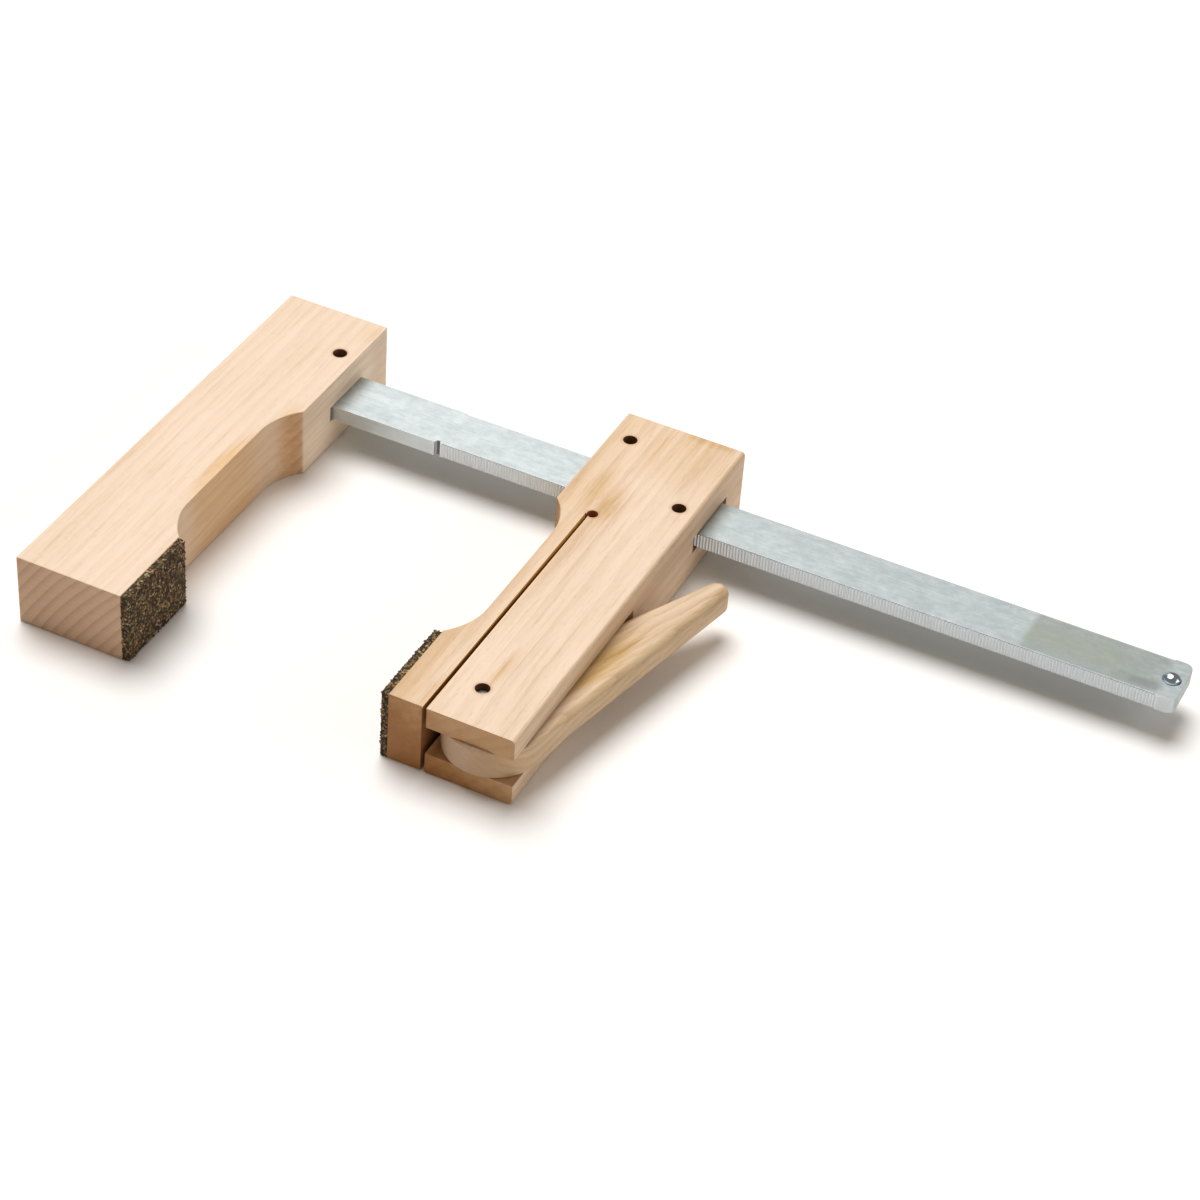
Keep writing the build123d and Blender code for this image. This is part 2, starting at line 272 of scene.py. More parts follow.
class Finish(Recipe):
    """A material in the making, whose places x, y and z are in millimetres.

    They are turned about a point, so that a grain can run along Y. kept names the attribute that
    holds them on pieces that bend.
    """

    def __init__(self, name, turn=0.0, about=(0.0, 0.0, 0.0), kept=None):
        self.material = bpy.data.materials.new(name)
        self.material.use_nodes = True
        super().__init__(self.material.node_tree)
        source = self.node("ShaderNodeTexCoord", {}, {})
        place = source.outputs["Object"]
        if kept:
            held = self.node("ShaderNodeAttribute", {"attribute_name": kept}, {})
            place = held.outputs["Vector"]
        centred = self.vector("SUBTRACT", place, about)
        spread = self.vector("MULTIPLY", centred, (1000, 1000, 1000))
        self.place = self.turned(spread, turn)
        self.x, self.y, self.z = self.parts(self.place)
        self.facing = self.parts(self.turned(source.outputs["Normal"], turn))

    def turned(self, socket, angle):
        sockets = {0: socket, "Angle": angle}
        return self.node("ShaderNodeVectorRotate", {"rotation_type": "Z_AXIS"}, sockets).outputs[0]

    def vector(self, operation, first, second):
        sockets = {0: first, 1: second}
        return self.node("ShaderNodeVectorMath", {"operation": operation}, sockets).outputs[0]

    def parts(self, socket):
        split = self.node("ShaderNodeSeparateXYZ", {}, {0: socket})
        return [Value(self, split.outputs[i]) for i in range(3)]

    def noise(self, cycles, seed, detail=3.0, roughness=0.55):
        """Soft noise around 0.5; cycles holds its cycles per millimetre along X, Y and Z."""
        spread = self.vector("MULTIPLY", self.place, cycles)
        moved = self.vector("ADD", spread, (seed, 1.7 * seed, 2.3 * seed))
        sockets = {"Vector": moved, "Scale": 1.0, "Detail": detail, "Roughness": roughness}
        return self.value("ShaderNodeTexNoise", {}, sockets)

    def step(self, value, low, high):
        """0 at low, 1 at high, with a smooth step between."""
        sockets = {"Value": value, "From Min": low, "From Max": high}
        return self.value("ShaderNodeMapRange", {"interpolation_type": "SMOOTHSTEP"}, sockets)

    def mix(self, factor, first, second):
        """first where factor is 0, second where it is 1; a colour is a socket or three numbers."""
        shades = [
            shade if isinstance(shade, bpy.types.NodeSocket) else (*shade, 1.0)
            for shade in (first, second)
        ]
        # A Mix node has its colours at sockets 6 and 7, and their mix at output 2.
        settings = {"data_type": "RGBA", "clamp_factor": True}
        sockets = {0: factor, 6: shades[0], 7: shades[1]}
        return self.node("ShaderNodeMix", settings, sockets).outputs[2]

    def bump(self, height, distance, strength=1.0):
        sockets = {"Height": height, "Distance": distance, "Strength": strength}
        return self.node("ShaderNodeBump", {}, sockets).outputs[0]

    def surface(self, sockets):
        shader = self.node("ShaderNodeBsdfPrincipled", {}, sockets)
        self.node("ShaderNodeOutputMaterial", {}, {"Surface": shader.outputs[0]})
        return self.material


def wood(
    name, pale, deep, warm, end, pith, ring, warmth_and_shade, seed, streak, figure, bands,
    holes=(), stains=(), painted_light=None, turn=0.0, about=(0.0, 0.0, 0.0), kept=None,
):
    """Bare planed hardwood with its grain along Y.

    pith is the tree's middle in X and Z, ring the width of a year's growth, in millimetres. warmth
    is the share of warm heartwood as X, Y and Z slopes per millimetre and a constant; on the
    sliding jaw its Z slope paints warm shade towards the lower face. streak is how many grain
    streaks there are to a millimetre; figure and bands are how strongly the grain shows along the
    board and at its ends, whose two colours are end. holes (X, Y, radius, colour) are burnt by the
    drill. stains are X, Y, half width, half length and strength; below zero they make the sides
    paler. marks adds painted shade and light, from the finish and its colour.
    """
    finish = Finish(name, turn, about, kept)

    # The rings wander along the board; each darkens slowly through its year and ends sharply.
    drift = finish.noise((0.002, 0.014, 0.002), seed, 2.0) * 14
    across = finish.x - pith[0] + drift
    through = finish.z - pith[1] + drift
    radius = (across * across + through * through) ** 0.5
    season = radius / ring + finish.noise((0.03, 0.004, 0.03), seed + 7, 1.0) * 0.8
    phase = season.math("FRACT", season)
    late_wood = finish.step(phase, 0.3, 0.96) * (1 - finish.step(phase, 0.96, 1.0))

    # Streaks of every width run down the board, with short dark flecks and cloudy patches.
    broad = finish.noise((streak * 0.3, 0.02, streak * 0.3), seed + 29, 3.0, 0.55)
    fibre = finish.noise((streak, 0.045, streak), seed + 3, 3.0, 0.6)
    fine = finish.noise((4.0, 0.24, 4.0), seed + 11, 3.0, 0.6)
    fleck = finish.step(finish.noise((2.6, 0.42, 2.6), seed + 5, 2.0), 0.6, 0.72)
    cloud = finish.noise((0.045, 0.014, 0.045), seed + 17, 2.0)
    line = finish.step(fibre, 0.55, 0.68) * (0.35 + fine * 0.5)
    grain = late_wood * 0.26 + (broad - 0.5) * 0.5 + (fibre - 0.5) * 0.5
    grain = grain + line * 0.35 + (fine - 0.5) * 0.45
    depth = grain * figure + fleck * 0.16 + (cloud - 0.5) * 0.4 + 0.09
    colour = finish.mix(depth, pale, deep)

    # Cut across, the board shows its rings, pores and rays instead.
    pores = finish.noise((5.5, 0.5, 5.5), seed + 23, 2.0, 0.7)
    rays = finish.noise((0.5, 0.1, 1.6), seed + 41, 2.0)
    end_depth = late_wood * bands + (cloud - 0.5) * 0.6 + (pores - 0.5) * 0.7
    end_depth = end_depth + (rays - 0.5) * 0.5 + 0.3 - bands * 0.25
    end_grain = finish.step(abs(finish.facing[1]), 0.25, 0.8)
    side = 1 - finish.step(abs(finish.facing[2]), 0.3, 0.8)
    colour = finish.mix(end_grain, colour, finish.mix(end_depth, *end))

    # Heartwood, stains and painted shade on the side faces are warmer, streaked like the grain.
    heart_and_shade = finish.x * warmth_and_shade[0] + finish.y * warmth_and_shade[1] + finish.z * warmth_and_shade[2]
    heart_and_shade = finish.step(heart_and_shade + (cloud - 0.5) * 0.6 + warmth_and_shade[3] + (broad - 0.5) * 0.8, 0.0, 1.0)
    warmed = finish.vector("MULTIPLY", colour, warm)
    colour = finish.mix(heart_and_shade * end_grain, colour, warmed)
    # Painted shade: side faces are warmed and darkened like heartwood.
    heart_and_shade = heart_and_shade + side * (1 - end_grain) * 0.3
    streaks = (broad - 0.5) * 1.6 + (fibre - 0.5) * 1.2 + 0.55
    flat_place = finish.node("ShaderNodeCombineXYZ", {}, {0: finish.x, 1: finish.y}).outputs[0]
    for x, y, half_width, half_length, strength in stains:
        spot = finish.vector("SUBTRACT", flat_place, (x, y, 0.0))
        spot = finish.vector("DIVIDE", spot, (half_width, half_length, 1.0))
        length = {"operation": "LENGTH"}
        reach = finish.value("ShaderNodeVectorMath", length, {0: spot}, "Value")
        heart_and_shade = heart_and_shade + (1 - finish.step(reach, 0.1, 1.0)) * streaks * strength
    warmed = finish.vector("MULTIPLY", colour, warm)
    colour = finish.mix(heart_and_shade, colour, warmed)
    # Below zero, stains make the side faces paler.
    colour = finish.mix(heart_and_shade * side * -1, colour, pale_side_colour)

    # The drill browns the wood round a hole and burns its rim and wall.
    for x, y, hole_radius, burn in holes:
        distance, ends = {"operation": "DISTANCE"}, {0: flat_place, 1: (x, y, 0.0)}
        away = finish.value("ShaderNodeVectorMath", distance, ends, "Value") - hole_radius
        near = 1 - finish.step(away, 0.0, browned_reach / mm)
        colour = finish.mix(near * 0.35, colour, browned)
        rim = 1 - finish.step(away, 0.0, scorch_rim / mm)
        colour = finish.mix(rim * 0.9, colour, burn)

    # Corners are a little warmer than the faces between them.
    corner = [abs(face) for face in finish.facing]
    corner = corner[0] * corner[1] + corner[1] * corner[2] + corner[0] * corner[2]
    warmed = finish.vector("MULTIPLY", colour, warm)
    colour = finish.mix(finish.step(corner, 0.15, 0.5) * 0.3, colour, warmed)
    if painted_light:
        colour = painted_light(finish, colour)
    relief = fine * 0.5 + fibre * 0.5 - fleck * 0.6 - late_wood * end_grain * 0.4
    return finish.surface({
        "Base Color": colour,
        "Roughness": (fine - 0.5) * 0.1 - late_wood * 0.08 + 0.62,
        "Normal": finish.bump(relief, grain_relief, 0.8),
    })


def holes_of(*pins):
    """Each pin's hole as X, Y and radius in millimetres, and its colour."""
    places = [middle_of(pin) / mm for pin in pins]
    return [(place.x, place.y, pin_hole_radius / mm, scorch) for place in places]


def dress(piece, material, body, finish_slot, *nodes):
    """Gives a finished piece its material, its body and the nodes that it stands for; finish_slot
    is not used.
    """
    piece.data.materials.clear()
    piece.data.materials.append(material)
    piece.data.polygons.foreach_set("material_index", [0] * len(piece.data.polygons))
    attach(piece, body)
    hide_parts(*nodes)


fixed_wood = wood(
    "fixed_jaw_wood", pale=(0.82, 0.65, 0.495), deep=(0.58, 0.38, 0.22), warm=(0.92, 0.77, 0.55),
    end=((0.68, 0.46, 0.30), (0.46, 0.275, 0.16)), pith=(150, -90), ring=2.8,
    warmth_and_shade=(0.004, 0, -0.01, 0.0), seed=2.0, streak=0.9, figure=0.65, bands=0.55,
    holes=holes_of("fixed_jaw_pin"),
    stains=[
        (14, 18, 5, 8, 0.7), (14, -29, 3.5, 9, 1.3), (10, -57, 5, 24, 2.0),
        (-15, -60, 2, 30, 0.6), (16.3, -4, 1.5, 40, -2.4),
    ],
)
dress(fixed_jaw, fixed_wood, "bar_and_fixed_jaw", "jaw_wood", "fixed_jaw")


# Sliding jaw. The same board stock with its two long outer edges rounded over, a saw kerf down to
# a drilled hole, a plunge-sawn mortise for the lever and a slot wide enough for the jaw to rock on
# the bar. The kerf is sawn last, so its edges aren't sanded.
kerf_centre = 10.35 * mm
kerf_width = 1.2 * mm
kerf_length = 91.8 * mm
kerf_hole_radius = 1.55 * mm
kerf_hole_aside = 1.25 * mm      # from the kerf's middle line to the hole's middle
kerf_hole_beyond = 0.6 * mm      # from the kerf's end to the hole's middle
kerf_hole_scorch = (0.42, 0.16, 0.045)
# Painted light along the kerf's edges and painted shade deeper in its walls
kerf_lit_edge = (0.94, 0.63, 0.27)
kerf_shade = (0.27, 0.105, 0.03)
kerf_lit_depth = 1.2 * mm           # how far down the painted light on the kerf's edges reaches at its end
round_over = 1.2 * mm
round_over_steps = 8
long_edge = 10 * mm              # shorter edges aren't rounded over
hair = 0.03 * mm                 # near enough to count as the same place
mortise_width = 8.8 * mm
mortise_depth = 26.3 * mm
# Painted shade on the mortise's cheeks
mortise_shade = (0.50, 0.26, 0.09)
saw_radius = 75 * mm
saw_from_tip = 11.5 * mm
saw_steps = 360
rock_gap = 2.5 * mm              # on each edge of the bar
slot_play = 0.3 * mm             # on each face of the bar

slide_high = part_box("sliding_jaw")[1]
slide_pad_low, slide_pad_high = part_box("sliding_jaw_pad")
inner_x, tip_y = slide_pad_high.x, slide_pad_low.y
kerf_x = inner_x + kerf_centre
kerf_side, jaw_side = kerf_x - kerf_width / 2, kerf_x + kerf_width / 2
kerf_end = tip_y + kerf_length
hole_x, hole_y = kerf_x + kerf_hole_aside, kerf_end + kerf_hole_beyond
slide_cove = cove_line(inner_x, slide_pad_high.y + cove_offset, 1)
seam_x = next(
    a[0] + (b[0] - a[0]) * (kerf_end - a[1]) / (b[1] - a[1])
    for a, b in zip(slide_cove, slide_cove[1:]) if a[1] <= kerf_end < b[1]
)


def kerf_hole_wall():
    """Points clockwise round the kerf's hole, between the places where the kerf meets it."""
    start = pi + asin(kerf_hole_beyond / kerf_hole_radius)
    end = -pi + acos((hole_x - jaw_side) / kerf_hole_radius)
    turns = [start + (end - start) * i / round_steps for i in range(round_steps + 1)]
    return [(hole_x + kerf_hole_radius * cos(a), hole_y + kerf_hole_radius * sin(a)) for a in turns]


slide_outline = [(slide_high.x, tip_y), (slide_high.x, slide_high.y), (inner_x, slide_high.y)]
slide_outline += [point for point in reversed(slide_cove) if point[1] > kerf_end]
slide_outline += [(seam_x, kerf_end), (kerf_side, kerf_end), *kerf_hole_wall(), (jaw_side, tip_y)]
sliding_jaw = prism("sliding_jaw_board", slide_outline, jaw_base, jaw_top)


def is_outer_edge(a, b, angle):
    is_long, is_level = abs(a.y - b.y) > long_edge, abs(a.z - b.z) < arris
    return min(a.x, b.x) > slide_high.x - arris and is_long and is_level


def is_at_kerf(point):
    from_wall = min(abs(point.x - kerf_side), abs(point.x - jaw_side))
    from_hole = hypot(point.x - hole_x, point.y - hole_y) - kerf_hole_radius
    return (from_wall < hair and point.y < hole_y) or from_hole < hair


def is_sanded_corner(a, b, angle):
    """Corners that were sanded: neither those along the kerf nor the seam to the tongue."""
    on_seam = max(abs(a.y - kerf_end), abs(b.y - kerf_end)) < hair
    return is_corner(a, b, angle) and not on_seam and not (is_at_kerf(a) and is_at_kerf(b))


break_edges(sliding_jaw, round_over, round_over_steps, is_outer_edge)
saw_x = slide_high.x - mortise_depth + saw_radius
saw = circle(saw_x, tip_y + saw_from_tip, saw_radius, saw_steps)
wide_slot = rectangle(
    inner_x - cut_margin, slide_high.x + cut_margin, bar_low.y - rock_gap, bar_high.y + rock_gap
)
slide_pins = ("inner_lock_pin", "outer_lock_pin", "cam_pivot_pin")
cut(
    sliding_jaw,
    prism("saw", saw, middle_z - mortise_width / 2, middle_z + mortise_width / 2),
    prism("wide_slot", wide_slot, bar_low.z - slot_play, bar_high.z + slot_play),
    *[drill(middle_of(pin).x, middle_of(pin).y, pin_hole_radius) for pin in slide_pins],
)
break_edges(sliding_jaw, arris, arris_steps, is_sanded_corner)
smooth(sliding_jaw)


def keep_places(piece):
    """Stores where each point of the board was before it bends, so that the grain bends with it."""
    places = piece.data.attributes.new("board_place", "FLOAT_VECTOR", "POINT")
    numbers = [number for point in piece.data.vertices for number in point.co]
    places.data.foreach_set("vector", numbers)


def kerf_and_mortise_shade(finish, colour):
    """Paints shade on the kerf's walls and on the mortise's cheeks.

    The kerf's walls are painted lit along their edges, deeper towards its end, so that the kerf
    looks narrower there.
    """
    end_y, length = kerf_end / mm, kerf_length / mm
    half_width, half_height = kerf_width / mm / 2, mortise_width / mm / 2
    from_middle = abs(finish.z - middle_z / mm)
    aside = abs(finish.x - kerf_x / mm) - half_width
    sawn = (1 - finish.step(aside, 0.0, 0.25)) * (1 - finish.step(finish.y, end_y - 0.5, end_y))
    lit_band = (finish.y - end_y + length) * (kerf_lit_depth / mm / length)
    depth = (jaw_top - middle_z) / mm - from_middle - lit_band
    # Painted light near the kerf's edges, painted shade deeper down
    wall = finish.mix(finish.step(depth, 0.0, 0.6), kerf_lit_edge, kerf_shade)
    colour = finish.mix(sawn * 0.85, colour, wall)
    # Painted shade inside the mortise
    inside = 1 - finish.step(from_middle - half_height, 0.1, 0.2)
    cheek = finish.step(abs(finish.facing[2]), 0.3, 0.8)
    return finish.mix(inside * cheek * 0.7, colour, mortise_shade)


keep_places(sliding_jaw)
# Its warmth slopes make it warmer towards the inner side and paint shade towards the lower face.
slide_wood = wood(
    "sliding_jaw_wood", pale=(0.80, 0.625, 0.47), deep=(0.52, 0.34, 0.20), warm=(0.80, 0.67, 0.43),
    end=((0.615, 0.36, 0.172), (0.435, 0.232, 0.101)), pith=(190, -60), ring=3.6,
    warmth_and_shade=(-0.03, 0.0, -0.03, 4.1), seed=31.0, streak=1.0, figure=0.8, bands=0.25,
    holes=[
        *holes_of(*slide_pins),
        (hole_x / mm, hole_y / mm, kerf_hole_radius / mm, kerf_hole_scorch),
    ],
    stains=[
        (109, -19, 5, 13, 1), (102, -15, 8, 16, 1), (115, -95, 3, 14, 1), (121, 21, 12, 3, 1),
        (104, -112, 3, 12, 1), (116, 14, 22, 24, 1),
    ],
    painted_light=kerf_and_mortise_shade, kept="board_place",
)
dress(sliding_jaw, slide_wood, "sliding_jaw", "jaw_wood", "sliding_jaw")


# Tongue of the sliding jaw. The springy strip between cove and kerf is one wood with the jaw, so
# it starts at a seam that doesn't show, and bends from there to the pad's block, where the cam
# pushes it.
bend_step = 2.0 * mm             # between points along the strip


def stepped(start, end, longest):
    """Points from start towards end, close enough for a smooth bend; end is left out."""
    along, up = end[0] - start[0], end[1] - start[1]
    count = max(1, round(hypot(along, up) / longest))
    shares = [i / count for i in range(count)]
    return [(start[0] + along * share, start[1] + up * share) for share in shares]


tongue_cove = [(seam_x, kerf_end)]
tongue_cove += [point for point in reversed(slide_cove) if point[1] < kerf_end]
floor_end, floor_start = tongue_cove[-cove_steps - 2], tongue_cove[-cove_steps - 1]
tongue_outline = stepped((kerf_side, tip_y), (kerf_side, kerf_end), bend_step)
tongue_outline += [(kerf_side, kerf_end)] + tongue_cove[:-cove_steps - 2]
tongue_outline += stepped(floor_end, floor_start, bend_step)
tongue_outline += tongue_cove[-cove_steps - 1:] + [(inner_x, tip_y)]
tongue = prism("sliding_jaw_tongue", tongue_outline, jaw_base, jaw_top)
break_edges(tongue, arris, arris_steps, is_sanded_corner)
smooth(tongue)
keep_places(tongue)
tongue.data.materials.append(slide_wood)
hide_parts("jaw_tongue")
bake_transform(tongue)


# Pads. Sheet of cork and rubber granules pressed with a binder, cut to the jaw's tip and glued on.
# The granules stand a little out of the binder, mostly dark brown and olive, with some tan, pale
# and reddish ones.
pad_inset = 0.22 * mm            # from the node's faces to the binder
granule_size = 0.42 * mm
granule_flatness = 0.32
granule_spacing = 0.5 * mm
granules_per_area = 4.0e6        # at most, to a square metre
granule_tilt = 0.25              # radians out of the pad's face, at most
granule_turn = 6.28              # radians round in it, at most
smallest_granule = (0.7, 0.7, 0.7)
largest_granule = (1.35, 1.35, 1.25)
granule_colours = [
    (0.0, (0.03, 0.02, 0.009)), (0.2, (0.068, 0.045, 0.017)), (0.42, (0.122, 0.081, 0.03)),
    (0.62, (0.185, 0.118, 0.043)), (0.76, (0.275, 0.19, 0.08)), (0.88, (0.24, 0.065, 0.022)),
    (0.96, (0.42, 0.33, 0.18)),
]
grit_relief = 0.12 * mm


class Shape(Recipe):
    """A Geometry Nodes tree in the making, whose sizes are named inputs."""

    def __init__(self, name, sizes):
        super().__init__(bpy.data.node_groups.new(name, "GeometryNodeTree"))
        interface = self.tree.interface
        for way in ("OUTPUT", "INPUT"):
            interface.new_socket("Geometry", in_out=way, socket_type="NodeSocketGeometry")
        self.given = {}
        for size, amount in sizes.items():
            kind = "NodeSocketInt" if isinstance(amount, int) else "NodeSocketFloat"
            entry = interface.new_socket(size, in_out="INPUT", socket_type=kind)
            self.given[entry.identifier] = amount
        entry = self.node("NodeGroupInput", {}, {})
        self.body = entry.outputs["Geometry"]
        self.sizes = {size: Value(self, entry.outputs[size]) for size in sizes}

    def join(self, *parts):
        joined = self.tree.nodes.new("GeometryNodeJoinGeometry")
        for part in parts:
            self.tree.links.new(part, joined.inputs[0])
        return joined.outputs[0]

    def make(self, piece, geometry, material):
        """Ends the tree, runs it on the piece and keeps the result as the piece's plain mesh."""
        real = self.node("GeometryNodeRealizeInstances", {}, {0: geometry}).outputs[0]
        painted = self.node("GeometryNodeSetMaterial", {}, {0: real, "Material": material})
        self.node("NodeGroupOutput", {}, {0: painted.outputs[0]})
        step = piece.modifiers.new(self.tree.name, "NODES")
        step.node_group = self.tree
        for identifier, amount in self.given.items():
            step[identifier] = amount
        settle(piece)


def granule_finish():
    """Cork and rubber: each granule has its own tone, and gritty clumps run across them."""
    finish = Finish("cork_rubber")
    tone = finish.value("ShaderNodeAttribute", {"attribute_name": "tone"}, {}, "Fac")
    grit = finish.noise((3.0, 3.0, 3.0), 4.0, 3.0, 0.7)
    clump = finish.noise((0.45, 0.45, 0.45), 16.0, 2.0)
    shade = tone + (grit - 0.5) * 0.35 + (clump - 0.5) * 0.6
    ramp = finish.node("ShaderNodeValToRGB", {"stops": granule_colours}, {0: shade})
    return finish.surface({
        "Base Color": ramp.outputs[0],
        "Roughness": 0.95 - tone * 0.2,
        "Normal": finish.bump(grit, grit_relief, 0.9),
    })


def cork_pad(node, name, glued_side, material, seed):
    """A pad a little smaller than its node, except on its glued side, with granules over it."""
    low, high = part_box(node)
    x0 = low.x if glued_side < 0 else low.x + pad_inset
    x1 = high.x if glued_side > 0 else high.x - pad_inset
    slab = rectangle(x0, x1, low.y + pad_inset, high.y - pad_inset)
    pad = prism(name, slab, low.z + pad_inset, high.z - pad_inset)
    shape = Shape(name, {
        "Granule size": granule_size, "Flatness": granule_flatness, "Spacing": granule_spacing,
        "Seed": seed,
    })
    scatter = shape.node("GeometryNodeDistributePointsOnFaces", {"distribute_method": "POISSON"}, {
        "Mesh": shape.body, "Distance Min": shape.sizes["Spacing"],
        "Density Max": granules_per_area, "Seed": shape.sizes["Seed"]})
    ball = shape.node("GeometryNodeMeshIcoSphere", {}, {
        "Radius": shape.sizes["Granule size"], "Subdivisions": 1})
    stretch = shape.node("FunctionNodeRandomValue", {"data_type": "FLOAT_VECTOR"}, {
        0: smallest_granule, 1: largest_granule, "Seed": 5})
    flat = shape.node("ShaderNodeCombineXYZ", {}, {0: 1.0, 1: 1.0, 2: shape.sizes["Flatness"]})
    scale = shape.node("ShaderNodeVectorMath", {"operation": "MULTIPLY"}, {
        0: stretch.outputs[0], 1: flat.outputs[0]})
    laid = shape.node("GeometryNodeInstanceOnPoints", {}, {
        "Points": scatter.outputs["Points"], "Instance": ball.outputs[0],
        "Rotation": scatter.outputs["Rotation"], "Scale": scale.outputs[0]})
    spin = shape.node("FunctionNodeRandomValue", {"data_type": "FLOAT_VECTOR"}, {
        0: (-granule_tilt, -granule_tilt, 0.0), 1: (granule_tilt, granule_tilt, granule_turn),
        "Seed": 9})
    spun = shape.node("GeometryNodeRotateInstances", {}, {
        "Instances": laid.outputs[0], "Rotation": spin.outputs[0]})
    tone = shape.node("FunctionNodeRandomValue", {"data_type": "FLOAT"}, {"Seed": 13})
    stored = {"data_type": "FLOAT", "domain": "INSTANCE"}
    toned = shape.node("GeometryNodeStoreNamedAttribute", stored, {
        "Geometry": spun.outputs[0], "Name": "tone", "Value": tone.outputs[1]})
    shape.make(pad, shape.join(shape.body, toned.outputs[0]), material)
    return pad


cork = granule_finish()
fixed_pad = cork_pad("fixed_jaw_pad", "fixed_jaw_cork", -1, cork, 3)
dress(fixed_pad, cork, "bar_and_fixed_jaw", "cork_pad", "fixed_jaw_pad")
slide_pad = cork_pad("sliding_jaw_pad", "sliding_jaw_cork", 1, cork, 4)
dress(slide_pad, cork, "tongue", "cork_pad", "sliding_jaw_pad")


# Bar. Flat steel with fine teeth rolled into both narrow edges beyond the plain end, bright zinc
# plated, with a small notch where the teeth start. It is pinned in the fixed jaw; its free end is
# rounded and bored for a stop.
tooth_pitch = 0.9 * mm
tooth_depth = 0.4 * mm
tooth_sink = 0.05 * mm           # how far the teeth are set into the bar
plain_length = 66 * mm           # before the first tooth
end_plain = 5 * mm               # beyond the last tooth
notch_radius = 0.9 * mm
bar_corner = 2.5 * mm
corner_steps = 12
bar_arris = 0.25 * mm
stop_hole_radius = 2.3 * mm
stop_hole_sink = 0.4 * mm
zinc_relief = 0.008 * mm

# Where the zinc changes along the bar, in millimetres: each change from its start to its end;
# the first is a painted dimmer reflection, with painted shade, beyond the sliding jaw
dimmer_reflection = (90, 150)
patch_start, patch_end = (223, 225.5), (258, 266)
yellow_end = (244, 256)
dark_line_start = (248, 255)
dark_line_y = -5

first_tooth = bar_low.x + plain_length
tooth_count = int((bar_high.x - end_plain - first_tooth) / tooth_pitch)
last_tooth = first_tooth + tooth_count * tooth_pitch
notch_x = first_tooth - notch_radius
stop_pin = middle_of("bar_stop_pin")


def bar_side(side):
    """One long edge of the bar without its teeth, and the free end's corner; side is its sign."""
    edge_y = side * bar_high.y
    root_y = edge_y - side * tooth_depth
    points = [(bar_low.x, edge_y), (first_tooth, edge_y), (first_tooth + tooth_pitch / 2, root_y)]
    points += [(last_tooth - tooth_pitch / 2, root_y), (last_tooth, edge_y)]
    turns = [pi / 2 * (1 - i / corner_steps) for i in range(corner_steps + 1)]
    x, y = bar_high.x - bar_corner, edge_y - side * bar_corner
    return points + [(x + bar_corner * cos(a), y + side * bar_corner * sin(a)) for a in turns]


def turned_solid(name, profile, x, y, steps=48):
    """A solid of revolution; profile runs down from axis to axis as radius and height."""
    points = [(x, y, profile[0][1])]
    for radius, z in profile[1:-1]:
        points += [(px, py, z) for px, py in circle(x, y, radius, steps)]
    points.append((x, y, profile[-1][1]))
    last = len(points) - 1
    turn = [(i, (i + 1) % steps) for i in range(steps)]
    faces = [(0, 1 + i, 1 + j) for i, j in turn]
    for row in range(len(profile) - 3):
        above, below = 1 + row * steps, 1 + (row + 1) * steps
        faces += [(above + i, below + i, below + j, above + j) for i, j in turn]
    faces += [(last - steps + i, last, last - steps + j) for i, j in turn]
    return solid(name, points, faces)


bar = prism("toothed_bar", bar_side(-1) + list(reversed(bar_side(1))), bar_low.z, bar_high.z)
wide = stop_hole_radius + stop_hole_sink
stop_bore = [
    (0, bar_high.z + mm), (wide + mm, bar_high.z + mm),
    (stop_hole_radius, bar_high.z - stop_hole_sink), (stop_hole_radius, bar_low.z + stop_hole_sink),
    (wide + mm, bar_low.z - mm), (0, bar_low.z - mm),
]
cut(
    bar,
    drill(notch_x, bar_low.y, notch_radius),
    drill(fixed_pin.x, fixed_pin.y, pin_hole_radius),
    turned_solid("stop_bore", stop_bore, stop_pin.x, stop_pin.y),
)
break_edges(bar, bar_arris, arris_steps, is_corner)
smooth(bar)


